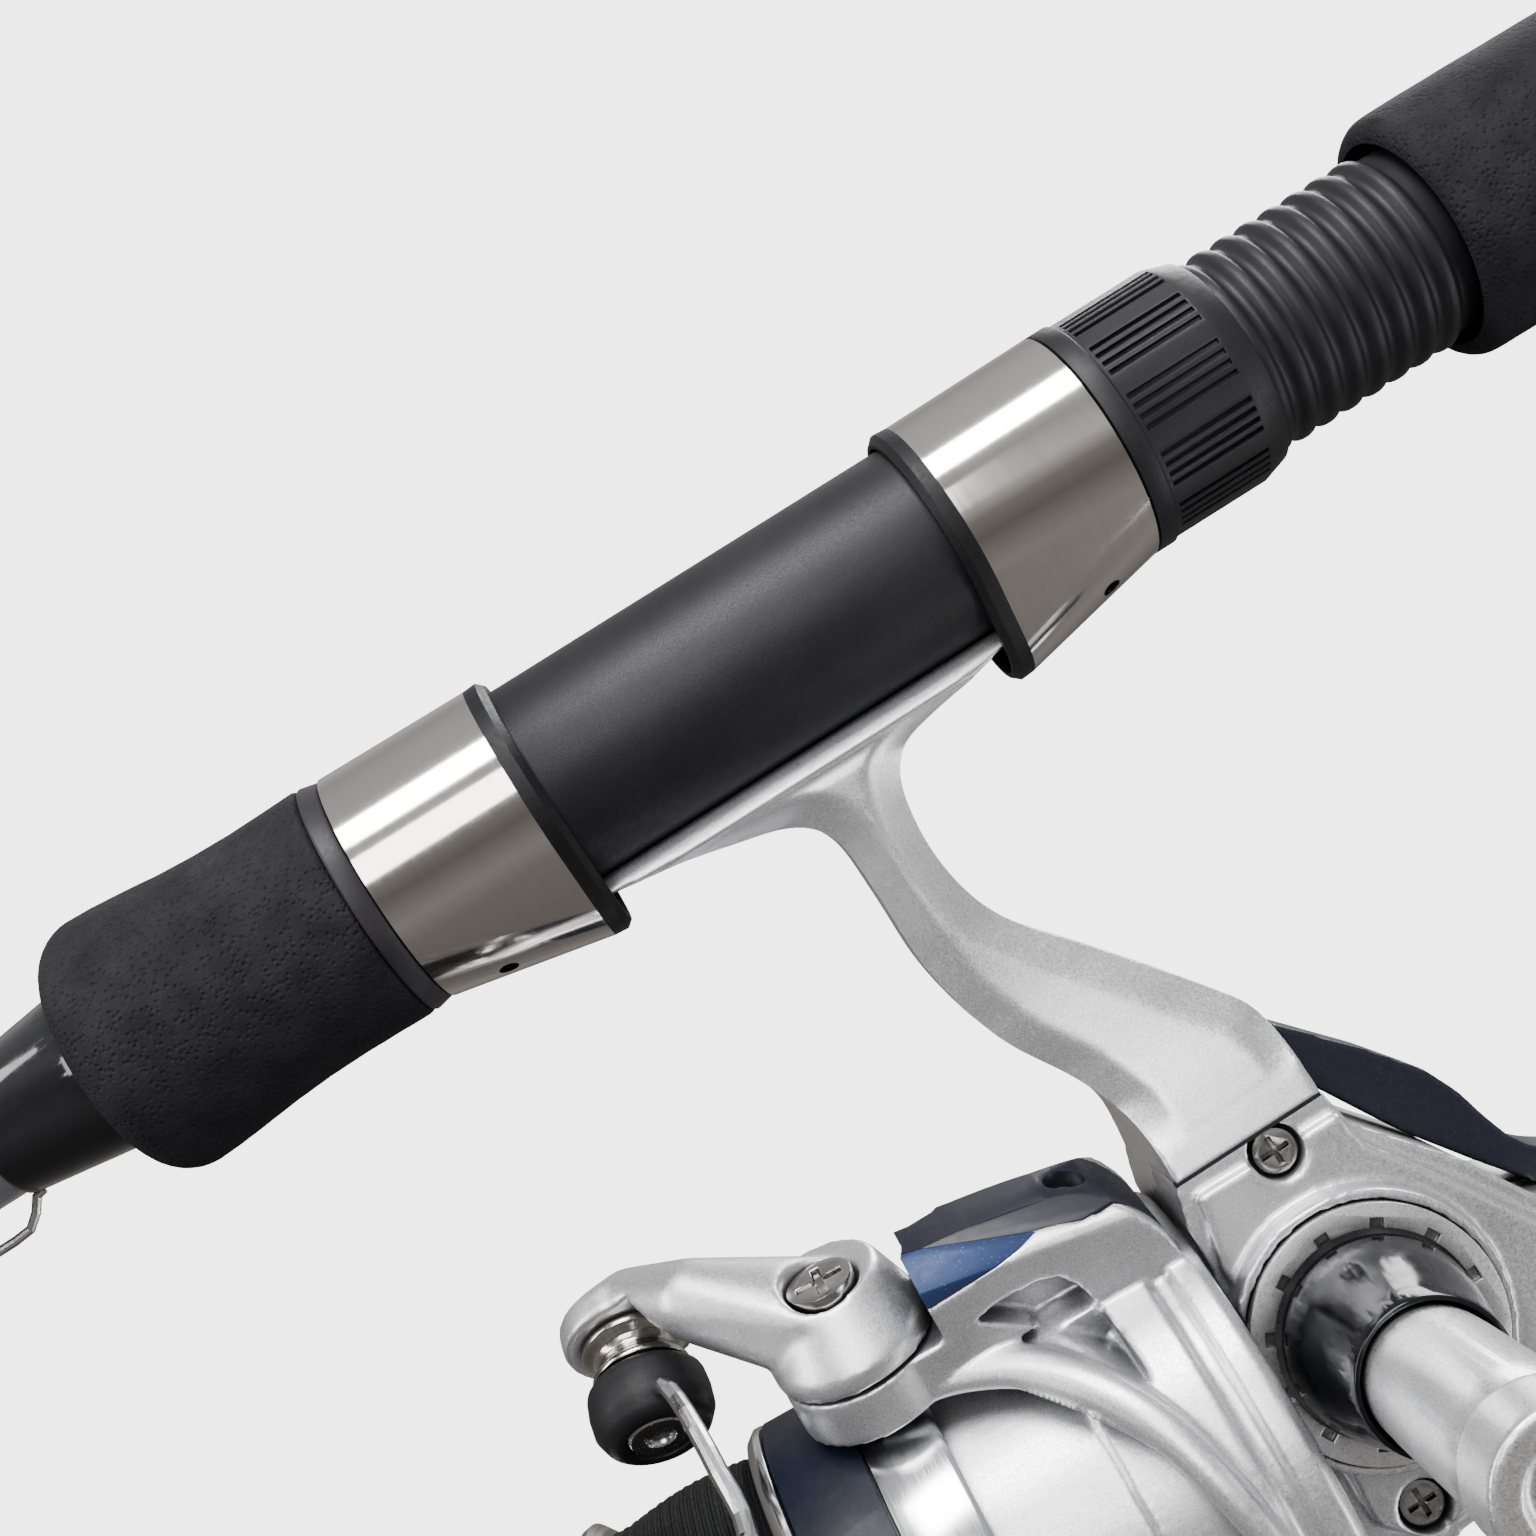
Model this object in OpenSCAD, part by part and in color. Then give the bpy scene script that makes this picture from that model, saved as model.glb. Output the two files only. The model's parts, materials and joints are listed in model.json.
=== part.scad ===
// Telescopic spinning rod with a fixed-spool reel, closed for storage.
// +X runs along the rod towards the tip, +Y is the crank side, +Z is up and the reel hangs below.
// The origin is on the rod's axis inside the reel seat, where the hand closes round the stem.

/* [Rod handle] */
// Outside radius of the butt section
blank_r = 6.5; // [6:0.1:7]
// Radius of the reel seat tube
seat_r = 10.9; // [10.6:0.1:11.2]
// Radius of the round end of both hoods
hood_r = 12.5; // [12.2:0.1:12.8]
// Length of each steel hood
hood_len = 16.4; // [14:0.2:18]
// Pitch of the seat thread
thread_pitch = 2.8; // [2.4:0.1:3]
// Radius of the straight part of the rear grip
grip_r = 13; // [12.6:0.1:13.4]
// X of the butt end
butt_x = -258; // [-300:1:-230]

/* [Telescopic sections] */
// X of the front end of the butt section
butt_front_x = 206; // [190:1:230]
// Wall of every hollow section
tube_wall = 0.6; // [0.5:0.05:0.6]
// Radial gap between one section and the next
tube_gap = 0.3; // [0.3:0.02:0.34]
// Distance from one section's front end to the next, closed
nest_step = 12; // [11:0.5:14]
// Height of the butt guide's ring centre below the rod's axis
butt_ring_drop = 26; // [24:1:30]

/* [Reel] */
// Upward tilt of the spool axis towards the rod, degrees
reel_tilt = 3.5; // [0:0.5:5]
// Depth of the spool axis below the rod, at the crank
shaft_z = -92.7; // [-94:0.1:-91]
// Height of the crank axis above the spool axis
crank_offset = 8.5; // [8:0.1:9]
// Half width of the gear case on the frame side
case_half = 12.5; // [12:0.1:13.5]
// Radius of the spool's skirt and rear flange
spool_r = 24; // [23:0.1:24.2]
// Radius of the wound line
line_r = 22.4; // [20:0.1:23]
// Angle of the bail arm round the spool axis, from up towards the crank side
bail_angle = 15; // [0:1:20]
// Length of the crank arm between its two axes
crank_len = 52; // [45:1:60]

/* [Hidden] */
$fn = 96;

run = 0.05;                       // radial clearance of a running fit
gap = 0.3;                        // clearance between pieces that move past each other
hood_front_x = 31.7;              // round end of the fixed hood
hood_rear_x = -49.9;              // round end of the sliding hood
lobe_z = -8.1;                    // centre of the foot lobe of a hood
foot_half = 6.5;                  // half width of the reel foot
foot_front = 22.5;
foot_rear = -40.5;
nut_len = 15.6;
nut_x = hood_rear_x - gap;        // front face of the hood nut
seat_end = -91;
grip_front = -88.5;
cap_len = 10;
shaft_x = -25;                    // X of the point of the spool axis below the crank axis
hub_c = [shaft_x - crank_offset * sin(reel_tilt), shaft_z + crank_offset * cos(reel_tilt)];
pivot_u = 43.4;                   // bail pivot, along the spool axis from the crank axis
boss_top = 30;                    // outer face of the pivot boss, from the spool axis
pivot_top = 37.5;                 // outer face of the bail's hub_c, from the spool axis
drum_r = 24;
cup_r = 22.2;
roller_c = [63.3, -4, 37.5];      // face of the bail arm's pad under the line roller, in the reel's own axes
roller_axis = [0.089, 0.712, -0.696];
shaft_r = 2;
drive_r = 4;
gear_r = 9.4;
drive_teeth = 41;
pinion_teeth = 8;
osc_c = [-13, 0.2];               // centre of the oscillation gear in the reel's own axes
osc_r = 7.3;
osc_drive_r = 7.6;
osc_crank = 6.2;                  // radius of its crank pin, half the spool's stroke
lever_c = [-37, -105.6];          // pivot of the anti-reverse lever, [x, z]
crank_y = 54;                     // inner face of the crank arm
crank_swing = 20;                 // rearward lean of the crank arm at rest
knob_y = crank_y + 9;
knob_len = 30;

// ---- helpers ------------------------------------------------------------------------------------

// A turned piece on the X axis from [radius, x] points.
module turned(points) { rotate([0, 90, 0]) rotate_extrude() polygon(points); }

// A disc or bar on the X axis from x0 to x1.
module bar(x0, x1, r) { translate([x0, 0, 0]) rotate([0, 90, 0]) cylinder(h = x1 - x0, r = r); }

// A tube on the X axis.
module tube(x0, x1, r_out, r_in) {
  difference() {
    bar(x0, x1, r_out);
    bar(x0 - 1, x1 + 1, r_in);
  }
}

// A disc or bar on an axis along Y, at [x, z].
module cross_bar(c, y0, y1, r) { translate([c[0], y0, c[1]]) rotate([-90, 0, 0])
  cylinder(h = y1 - y0, r = r); }

// A plate in the XZ plane from y0 to y1.
module plate(points, y0, y1) {
  translate([0, y1, 0]) rotate([90, 0, 0]) linear_extrude(height = y1 - y0) polygon(points);
}

// Places its children in the reel's own axes: X along the spool axis, origin below the crank axis.
module in_reel() { translate([shaft_x, 0, shaft_z]) rotate([0, -reel_tilt, 0]) children(); }

// Places its children at one of the two rotor arms: Z points outwards through the bail pivot.
module in_arm(side = 0) { rotate([-bail_angle - 180 * side, 0, 0]) children(); }

function unit(v) = v / norm(v);
function ease(t) = (1 - cos(180 * min(1, max(0, t)))) / 2;
function mix(a, b, t) = a + (b - a) * t;

// Ring of n points of radius r round p, square to direction t.
function ring(p, t, r, n, ref) =
  let (a = unit(cross(t, ref)), b = unit(cross(t, a)))
  [for (i = [0:n - 1]) p + r * (cos(360 * i / n) * a + sin(360 * i / n) * b)];

// Point at t on the smooth curve through four points.
function spline(a, b, c, d, t) =
  0.5 * (2 * b + (c - a) * t + (2 * a - 5 * b + 4 * c - d) * t * t + (3 * b - a - 3 * c + d) * t * t * t);
function smooth(p, k) = let (m = len(p) - 1) concat([for (i = [0:m - 1]) for (j = [0:k - 1])
  spline(p[max(i - 1, 0)], p[i], p[i + 1], p[min(i + 2, m)], j / k)], [p[m]]);

// A round tube swept along a path, with a radius at every point.
module swept(path, radii, ref = [0, 0, 1], n = 10) {
  m = len(path);
  rings = [for (i = [0:m - 1])
    ring(path[i], unit(path[min(i + 1, m - 1)] - path[max(i - 1, 0)]), radii[i], n, ref)];
  points = [for (r = rings) each r];
  sides = [for (i = [0:m - 2]) for (j = [0:n - 1])
    [i * n + j, (i + 1) * n + j, (i + 1) * n + (j + 1) % n, i * n + (j + 1) % n]];
  polyhedron(points, concat([[for (j = [0:n - 1]) j]], sides,
    [[for (j = [n - 1:-1:0]) (m - 1) * n + j]]));
}

// Turns +Z of its children into the roller's axis at the roller's centre.
module on_roller() {
  d = unit(roller_axis);
  translate(roller_c) rotate([0, acos(d[2]), atan2(d[1], d[0])]) children();
}

// ---- rod handle ---------------------------------------------------------------------------------

module fore_grip() {
  nose = 5;
  x1 = 64.5;
  color("#2b2a2f") turned(concat(
    [[blank_r, 34], [12.4, 34], [12.8, 34.5]],
    [for (x = [37:2:59]) [12.65 + 1.15 * ease((x - 43) / 15), x]],
    [for (a = [0:15:75]) [13.8 - nose + nose * cos(a), x1 - nose + nose * sin(a)]],
    [[13.8 - nose, x1], [blank_r, x1]]));
}

module winding_check() {
  color("#17171c") turned([[blank_r, 64.5], [8.7, 64.5], [8.2, 68], [7.1, 75.5], [6.9, 76.3],
    [blank_r, 76.3]]);
}

module hook_keeper() {
  wire_r = 0.5;
  low = 9.9;
  path = [[75.5, 0, -7.05], [76.4, 0, -7.3], [77.3, 0, -8.6], [78.6, 0, -9.7], [80.5, 0, -low],
    [84, 0, -low],
    [88, 0, -9.3], [91, 0, -8.2], [93.6, 0, -7.3], [96, 0, -7.05]];
  color("silver") {
    swept(path, [for (p = path) wire_r], ref = [0, 1, 0], n = 12);
  }
}

// Lacquered thread over the feet of the keeper and of the butt guide, split where a foot lies.
module thread_wraps() {
  color("#54545c") difference() {
    union() {
      tube(94.4, 101, 7.1, blank_r);
      tube(184.4, 190, 7.1, blank_r);
    }
    translate([90, -0.6, -8]) cube([6.1, 1.2, 1.7]);
  }
}

module butt_section() { color("#6d6d74") tube(butt_x + 6, butt_front_x, blank_r, blank_r - tube_wall); }

module grip_collar() {
  color("#45414a") difference() {
    turned([[seat_r, hood_front_x + 0.2], [12.3, hood_front_x + 0.2], [12.7, 33.7], [12.7, 34],
      [seat_r, 34]]);
  }
}

// Section through a hood's open end: the seat's circle blended into the lobe over the foot.
module hood_slice(x, t, round_r, lobe_r) {
  translate([x, 0, 0]) rotate([0, 90, 0]) cylinder(h = t, r = round_r, $fn = 48);
  translate([x, 0, lobe_z]) rotate([0, 90, 0]) cylinder(h = t, r = lobe_r, $fn = 32);
}

// Solid outer form of a hood, from its round end at x0 to its open end at x1.
module hood_form(x0, x1, round_r, lobe_r) {
  hull() {
    translate([x0 - 0.01, 0, 0]) rotate([0, 90, 0]) cylinder(h = 0.02, r = round_r, $fn = 48);
    hood_slice(x1 - 0.01, 0.02, round_r - 0.2, lobe_r);
  }
}

module hood(x0, x1) {
  s = sign(x1 - x0);
  difference() {
    hood_form(x0, x1, hood_r, 7.8);
    hood_form(x0 + s * 0.8, x1 + s * 0.05, hood_r - 0.5, 7.3);
    bar(min(x0, x1) - 5, max(x0, x1) + 5, seat_r + gap);
    translate([(x0 + x1) / 2 - s * 2, 0, lobe_z]) rotate([221, 0, 0]) translate([0, 0, 3])
      cylinder(h = 8, r = 1);
  }
}

// Soft lining of a hood, with the thick lip that shows at its mouth.
module hood_liner(x0, x1, bore) {
  s = sign(x1 - x0);
  difference() {
    union() {
      hood_form(x0 + s * 1.2, x1, hood_r - 0.55, 7.25);
      hull() {
        hood_slice(min(x1, x1 + s * 0.1), 0.1, hood_r - 0.2, 7.8);
        hood_slice(min(x1 + s * 1.3, x1 + s * 1.4), 0.1, hood_r - 0.1, 7.9);
        hood_slice(min(x1 + s * 2, x1 + s * 2.1), 0.1, hood_r - 0.8, 7.3);
      }
    }
    bar(min(x0, x1) - 5, max(x0, x1) + 5, bore);
    hull() {
      hood_slice(min(x0 + s * 5, x0 + s * 5.1), 0.1, seat_r - 1, 5.3);
      hood_slice(x1 + s * 3, 0.1, seat_r - 1, 6.85);
    }
  }
}

module front_hood() { color("#c9c6c4") hood(hood_front_x, hood_front_x - hood_len); }
module front_hood_liner() { color("#1b1b1e") hood_liner(hood_front_x, hood_front_x - hood_len, seat_r); }
module rear_hood() { color("#c9c6c4") hood(hood_rear_x, hood_rear_x + hood_len); }
module rear_hood_liner() { color("#1b1b1e") hood_liner(hood_rear_x, hood_rear_x + hood_len,
  seat_r + 0.35); }

// Barrel of the reel seat: plain under the reel, threaded behind it.
module seat_tube() {
  root_r = 10;
  crest_r = 10.7;
  turns = [for (x = [-87:thread_pitch:-44]) x];
  color("#33323a") turned(concat(
    [[blank_r, seat_end], [root_r, seat_end], [root_r, -88]],
    [for (x = turns) each [[root_r, x], [crest_r, x + 0.5], [crest_r, x + 1.5], [root_r, x + 2]]],
    [[root_r, -42], [seat_r, -41], [seat_r, 34], [blank_r, 34]]));
}

module hood_nut() {
  r = 12.2;
  groups = 12;
  color("#2c2c31") difference() {
    turned([[11, nut_x], [12.5, nut_x], [12.5, nut_x - 2], [r, nut_x - 2.2], [r, nut_x - nut_len + 2.6],
      [11.4, nut_x - nut_len], [11, nut_x - nut_len]]);
    for (g = [0:groups - 1]) for (k = [-1.5:1.5]) rotate([360 / groups * g + 5.4 * k, 0, 0])
      translate([nut_x - nut_len + 2.8, -0.3, r - 0.5]) cube([nut_len - 5.4, 0.6, 2]);
  }
}

module rear_grip() {
  x1 = butt_x + cap_len;
  color("#2b2a2f") turned(concat(
    [[blank_r, x1], [grip_r, x1], [grip_r, -128]],
    [for (x = [-124:3:-94]) [mix(grip_r, 13.5, ease((x + 128) / 30)), x]],
    [for (a = [0:15:75]) [11.7 + 1.8 * cos(a), grip_front - 1.8 + 1.8 * sin(a)]],
    [[11.4, grip_front], [11.4, seat_end], [blank_r, seat_end]]));
}

module butt_cap() {
  color("#202024") {
    turned([[0, butt_x], [10.5, butt_x], [12.2, butt_x + 0.7], [grip_r, butt_x + 2.4], [grip_r,
      butt_x + cap_len],
      [blank_r, butt_x + cap_len], [blank_r, butt_x + 6], [0, butt_x + 6]]);
  }
}

// ---- telescopic sections and their guides -------------------------------------------------------

function section_r(i) = blank_r - (i - 1) * (tube_wall + tube_gap);
function section_rear(i) = -150 + 5 * (i - 2);
function section_front(i) = butt_front_x + nest_step * (i - 1) - 2;

module section(i) {
  tube(section_rear(i), section_front(i), section_r(i), section_r(i) - tube_wall);
}

module section_2() { color("#3b3b40") section(2); }
module section_3() { color("#3b3b40") section(3); }
module section_4() { color("#3b3b40") section(4); }

module tip_section() {
  color("#3b3b40") turned([[0, section_rear(5)], [2.9, section_rear(5)], [2.9, 60], [1.1,
    section_front(5)],
    [0, section_front(5)]]);
}

// Wire and sleeve of a guide: a sleeve on the blank and two legs down to the ring's seat.
module guide_frame(x, sleeve_r, bore_r, drop, ring_r, len, wire_r) {
  tube(x - len, x, sleeve_r, bore_r);
  translate([x - len / 2, 0, -drop]) rotate([0, 90, 0]) difference() {
    cylinder(h = 1.6, r = ring_r + 0.9, center = true);
    cylinder(h = 3, r = ring_r, center = true);
  }
  for (s = [-1, 1]) {
    path = [[x - len / 2, s * (sleeve_r - 0.4), -2], [x - len / 2, s * (sleeve_r + ring_r) / 2,
      -drop * 0.45],
      [x - len / 2, s * (ring_r + 0.45), -drop]];
    swept(path, [wire_r, wire_r, wire_r], ref = [1, 0, 0], n = 8);
  }
}

// Ceramic ring pressed into a guide frame, with a straight bore between two rounded mouths.
module guide_ring(x, drop, r_out, wall) {
  r_in = r_out - wall;
  translate([x, 0, -drop]) turned([[r_in, -0.6], [r_in + 0.3, -1], [r_out, -1], [r_out, 1],
    [r_in + 0.3, 1],
    [r_in, 0.6]]);
}

function guide_drop(i) = butt_ring_drop - [0, 0, 7.5, 12.2, 15.4][i];
function guide_r(i) = [0, 9.4, 6.2, 4.4, 3.2][i];

module butt_guide_frame() {
  color("#8b8b90") guide_frame(butt_front_x, 7.1, blank_r, butt_ring_drop, guide_r(1), 6, 0.7);
}
module butt_guide_ring() { color("#3a4a63") guide_ring(butt_front_x - 3, butt_ring_drop,
  guide_r(1), 1.2); }

module guide(i) {
  color("#8b8b90") guide_frame(section_front(i), section_r(i) + 0.7, section_r(i), guide_drop(i),
    guide_r(i), 6, 0.6);
  color("#3a4a63") guide_ring(section_front(i) - 3, guide_drop(i), guide_r(i), 0.9);
}
module guide_2() { guide(2); }
module guide_3() { guide(3); }
module guide_4() { guide(4); }

// Tip top: a sleeve over the tip with two arms that carry the last ring clear of the tip's end.
module tip_guide() {
  x = section_front(5);
  ring_x = x + 5;
  drop = 5.2;
  color("#8b8b90") {
    turned([[1.35, x - 12], [1.75, x - 12], [1.75, x + 0.8], [0, x + 0.8], [0, x], [1.1, x]]);
    translate([ring_x, 0, -drop]) tube(-0.8, 0.8, 2.9, 2.2);
    for (s = [-1, 1]) swept([[x - 1, s * 1.4, -0.3], [x + 2.5, s * 2.1, -2.4], [ring_x, s * 2.5,
      -drop + 0.2]],
      [0.45, 0.45, 0.45], ref = [0, 0, 1], n = 8);
  }
  color("#3a4a63") guide_ring(ring_x, drop, 2.2, 0.8);
}

// ---- reel: frame, cover and what is fixed to them -----------------------------------------------

// Outline of the gear case seen from the crank side, [x, z].
case_line = [[-17, -63.6], [-14.9, -71], [-14.6, -79], [-14.6, -102], [-18.5, -106.4], [-27,
  -105.6], [-44, -101],
  [-55, -96], [-58, -91.5], [-55, -87], [-46.8, -84.6], [-41.4, -76], [-34.4, -67.5], [-33.6, -63.6]];
case_mid = [-34, -87];
function case_inner(wall) = [for (p = case_line) p - wall * unit(p - case_mid)];

screw_places = [[-26.9, -65.9], [-21, -101.6], [-50.5, -91.5]];

// Foot, forked stem and the throat where the stem meets the gear case.
stem_front = [[6, -13.2], [1, -14.4], [-5, -16.2], [-7.9, -19.6], [-8.4, -26.5], [-8.6, -35],
  [-10.9, -44],
  [-15.2, -51.4], [-17.3, -57.4], [-17, -63.6]];
stem_rear = [[-33.6, -63.6], [-33.4, -55.1], [-30.3, -50.1], [-23.8, -42], [-17.4, -34], [-15.3, -26.5],
  [-15.9, -19], [-18.2, -15.3], [-22, -14], [-27, -13.2]];

// Half width of the stem against height, [y, z].
stem_half = [[5.2, -11], [5.2, -22], [5.2, -34], [5.9, -42], [7.6, -50], [9.8, -57], [11.6, -63.6]];

module reel_frame() {
  color("#cfcfd3") {
    difference() {
      union() {
        plate([[foot_rear, -8], [foot_rear, -11], [-33, -11.8], [-27, -13.2], [6, -13.2], [12.6, -12.3],
          [foot_front, -11], [foot_front, -8]], -foot_half, foot_half);
        intersection() {
          plate(concat([[-20, -12], [-2, -12]], smooth(stem_front, 4), smooth(stem_rear, 4)), -13, 13);
          translate([-45, 0, 0]) rotate([90, 0, 90]) linear_extrude(height = 60)
            polygon(concat(smooth(stem_half, 3), [for (i = [len(stem_half) * 3 - 3:-1:0])
              let (p = smooth(stem_half, 3)[i]) [-p[0], p[1]]]));
        }
      }
      bar(foot_rear - 1, foot_front + 1, seat_r);
      for (s = [-1, 1]) translate([foot_rear - 1, s * 5.6, -12.9]) rotate([s * 32, 0, 0])
        translate([0, s > 0 ? 0 : -4, -4]) cube([foot_front - foot_rear + 2, 4, 8]);
    }
    difference() {
      union() {
        difference() {
          plate(case_line, -case_half, 0);
          in_reel() translate([10.6, -30, -40]) cube([30, 60, 80]);
        }
        in_reel() difference() {
          bar(8.5, 15.5, 15.2);
          translate([0, 0, -20]) cube([12, 30, 40]);
        }
        in_reel() bar(15, 22.5, 9.4);
        for (y = [-10.6, -2.6]) plate([[-40.4, -100.5], [-33.6, -102], [-35, -108], [-39, -108]],
          y, y + 1.8);
      }
      difference() {
        plate(case_inner(1.7), -case_half + 1.6, 20);
        cross_bar(hub_c, -case_half, -8, 9.6);
        for (p = screw_places) cross_bar(p, -case_half, 0, 2.6);
      }
      in_reel() bar(-2, 13.8, 4.6);
      translate([-70, 0.05, -63.7]) cube([60, 30, 0.5]);
      cross_bar(hub_c, -case_half - 1, -case_half + 1.2, 6.5);
      cross_bar(hub_c, -case_half + 1.2, -7.9, 8);
      in_reel() bar(13, 30, 4.6);
      in_reel() bar(17.5, 23, 7);
      cross_bar(lever_c, -12, -0.1, 1.05);
      for (p = screw_places) cross_bar(p, -8, 1, 1.2);
    }
  }
}

module side_cover() {
  color("#d6d6d9") difference() {
    union() {
      difference() {
        union() {
          plate(case_line, 0.1, 11.6);
          plate([for (p = case_line) p - 2.2 * unit(p - case_mid)], 11.6, 12.6);
        }
        difference() {
          plate(case_inner(1.7), -1, 10.4);
          cross_bar(hub_c, 9, 12, 9.6);
          for (p = screw_places) cross_bar(p, 0, 12, 3.4);
        }
        in_reel() bar(-2, 13.8, 4.6);
      }
      cross_bar(hub_c, 12, 15.2, 13.4);
    }
    in_reel() translate([10.6, -30, -30]) cube([30, 60, 60]);
    cross_bar(hub_c, 14, 20, 12.35);
    cross_bar(hub_c, 9.9, 20, 8);
    cross_bar(hub_c, 8, 12, 7);
    for (p = screw_places) {
      cross_bar(p, -1, 20, 1.5);
      cross_bar(p, 9.6, 20, 2.65);
    }
  }
}

module cover_screws() {
  color("#b9b9bd") for (p = screw_places) difference() {
    union() {
      cross_bar(p, -7, 9.7, 1.2);
      cross_bar(p, 9.6, 11.2, 2.15);
    }
    translate([p[0] - 1.5, 10.4, p[1] - 0.3]) cube([3, 2, 0.6]);
    translate([p[0] - 0.3, 10.4, p[1] - 1.5]) cube([0.6, 2, 3]);
  }
}

module body_guard() {
  outer = [[-34.1, -57], [-44.8, -69.4], [-48.4, -79.3], [-52.4, -83.4], [-60, -87.6], [-62.4, -92],
    [-60.5, -97], [-52, -101.4], [-44, -103.6]];
  inner = [[-44, -101.1], [-55, -96.1], [-58.1, -91.5], [-55.1, -86.9], [-48.4, -85], [-44.2, -79.6],
    [-39.8, -73.6], [-34.9, -65.3], [-34.1, -63.8]];
  color("#34343f") plate(concat(smooth(outer, 3), inner), -4, 4);
}

module hub_ring() {
  color("silver") difference() {
    cross_bar(hub_c, 14, 16, 12.25);
    cross_bar(hub_c, 13, 17, 9.9);
    on_crank() for (i = [0:11]) rotate(30 * i) translate([9, -0.7, 15.3]) cube([1.8, 1.4, 2]);
  }
}

module dust_cap() {
  color("#3a3a44") difference() {
    union() {
      cross_bar(hub_c, -case_half + 1.2 - 3.6, -case_half + 1.2, 6.5);
      cross_bar(hub_c, -case_half - 4.4, -case_half - 1.2, 8.4);
    }
    cross_bar(hub_c, -case_half - 2.6, -case_half + 2, 4.6);
  }
}

module case_bearings() {
  color("#a9a9ad") for (y = [-case_half + 1.3, 9.9]) difference() {
    cross_bar(hub_c, y, y + 3, 8);
    cross_bar(hub_c, y - 1, y + 4, drive_r + run);
    difference() {
      cross_bar(hub_c, y - 0.1, y + 0.4, 7.2);
      cross_bar(hub_c, y - 1, y + 1, 5);
    }
  }
}

module pinion_bearing() {
  color("#a9a9ad") in_reel() difference() {
    bar(17.5, 21.5, 7);
    bar(17, 22, 3.5 + run);
    difference() {
      bar(21.1, 22, 6.3);
      bar(21, 22, 4.3);
    }
  }
}

module one_way_clutch() {
  color("#1f5a99") in_reel() difference() {
    union() {
      bar(22.6, 32.5, 14.5);
      bar(22.6, 24, 17.2);
    }
    bar(22, 33, 3.5 + run);
    for (i = [0:5]) rotate([60 * i, 0, 0]) translate([0, 0, 10.6]) bar(30.5, 33, 1.6);
  }
}

module anti_reverse_lever() {
  color("#2c2c31") {
    cross_bar(lever_c, -10.4, -1, 1);
    cross_bar(lever_c, -8.5, -2.9, 2.3);
    plate([[-38.8, -106], [-35.4, -107], [-38.6, -113.6], [-41.2, -112.6]], -8.4, -3);
  }
}

// ---- reel: crank --------------------------------------------------------------------------------

// Puts its children on the crank axis with +Z pointing out through the cover.
module on_crank() { translate([hub_c[0], 0, hub_c[1]]) rotate([-90, 0, 0]) children(); }

// Face gear cast on its shaft, with the small wheel that turns the oscillation gear.
module drive_gear() {
  tooth = 360 / drive_teeth;
  color("#b08d57") on_crank() {
    translate([0, 0, -14.6]) cylinder(h = 36.6, r = drive_r);
    difference() {
      translate([0, 0, 4.6]) cylinder(h = 3, r = gear_r);
      translate([0, 0, 4]) cylinder(h = 1.6, r = 6.4);
      for (i = [0:drive_teeth - 1]) rotate(tooth * i) translate([6.2, -0.3, 4]) cube([6, 0.6, 1.4]);
    }
    translate([0, 0, -7]) wheel(osc_drive_r, 2.7, 17);
  }
}

// Spur wheel with square-cut teeth, standing on Z.
module wheel(r, h, teeth) {
  difference() {
    cylinder(h = h, r = r);
    for (i = [0:teeth - 1]) rotate(360 / teeth * i) translate([r - 1, -0.45 * r * 3.14 / teeth, -1])
      cube([2, 0.9 * r * 3.14 / teeth, h + 2]);
  }
}

module handle_cup() {
  color("#141418") on_crank() difference() {
    rotate_extrude() polygon([[drive_r + run, 16.4], [9.5, 16.4], [9.5, 18], [8.9, 22], [7.7,
      27.5], [7.2, 31],
      [6.7, 31], [6.7, 25.5], [drive_r + run, 25.5]]);
    translate([0, 0, 15]) cylinder(h = 10, r = drive_r);
  }
}

module crank_shank() {
  color("#d2d2d5") on_crank() rotate_extrude() polygon([[0, 22.2], [drive_r - 1, 22.2], [drive_r, 22.2],
    [drive_r, 25.6], [5.6, 25.6], [6.2, 27], [6.4, 34], [6.6, crank_y - 3], [6, crank_y - 0.2], [0,
      crank_y - 0.2]]);
}

module crank_arm() {
  color("#d2d2d5") on_crank() rotate(crank_swing) {
    difference() {
      union() {
        translate([0, 0, crank_y - 0.2]) cylinder(h = 7.2, r = 7);
        translate([0, crank_len, crank_y + 0.4]) cylinder(h = 6.6, r = 5.4);
        hull() {
          translate([0, 3, crank_y]) cylinder(h = 6, r = 5.6, $fn = 32);
          translate([0, crank_len - 3, crank_y + 1]) cylinder(h = 5, r = 4.2, $fn = 32);
        }
      }
      translate([0, crank_len, crank_y - 1]) cylinder(h = 12, r = 2.5);
      translate([0, 0, crank_y + 5.6]) cylinder(h = 3, r = 4.2);
    }
  }
}

module knob_spindle() {
  color("#9fa0a4") on_crank() rotate(crank_swing) translate([0, crank_len, 0]) {
    translate([0, 0, crank_y]) cylinder(h = knob_len + 7, r = 2.5);
    translate([0, 0, crank_y + 7]) cylinder(h = 1.2, r = 4);
    translate([0, 0, knob_y + knob_len - 3.2]) cylinder(h = 1.4, r = 3.4);
  }
}

module knob() {
  color("#2a2a2f") on_crank() rotate(crank_swing) translate([0, crank_len, knob_y]) difference() {
    rotate_extrude() polygon([[2.5 + run, 0], [5.6, 0], [6.3, 1.6], [6.6, 5], [8.4, 11], [10.6,
      18], [11, 23],
      [10, 27.5], [8.2, 29.4], [6.4, 29.4], [6.4, 26.6], [2.5 + run, 26.6]]);
    for (s = [-1, 1]) translate([-15, s * 13.4 - 5, -1]) cube([30, 10, 40]);
  }
}

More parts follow.
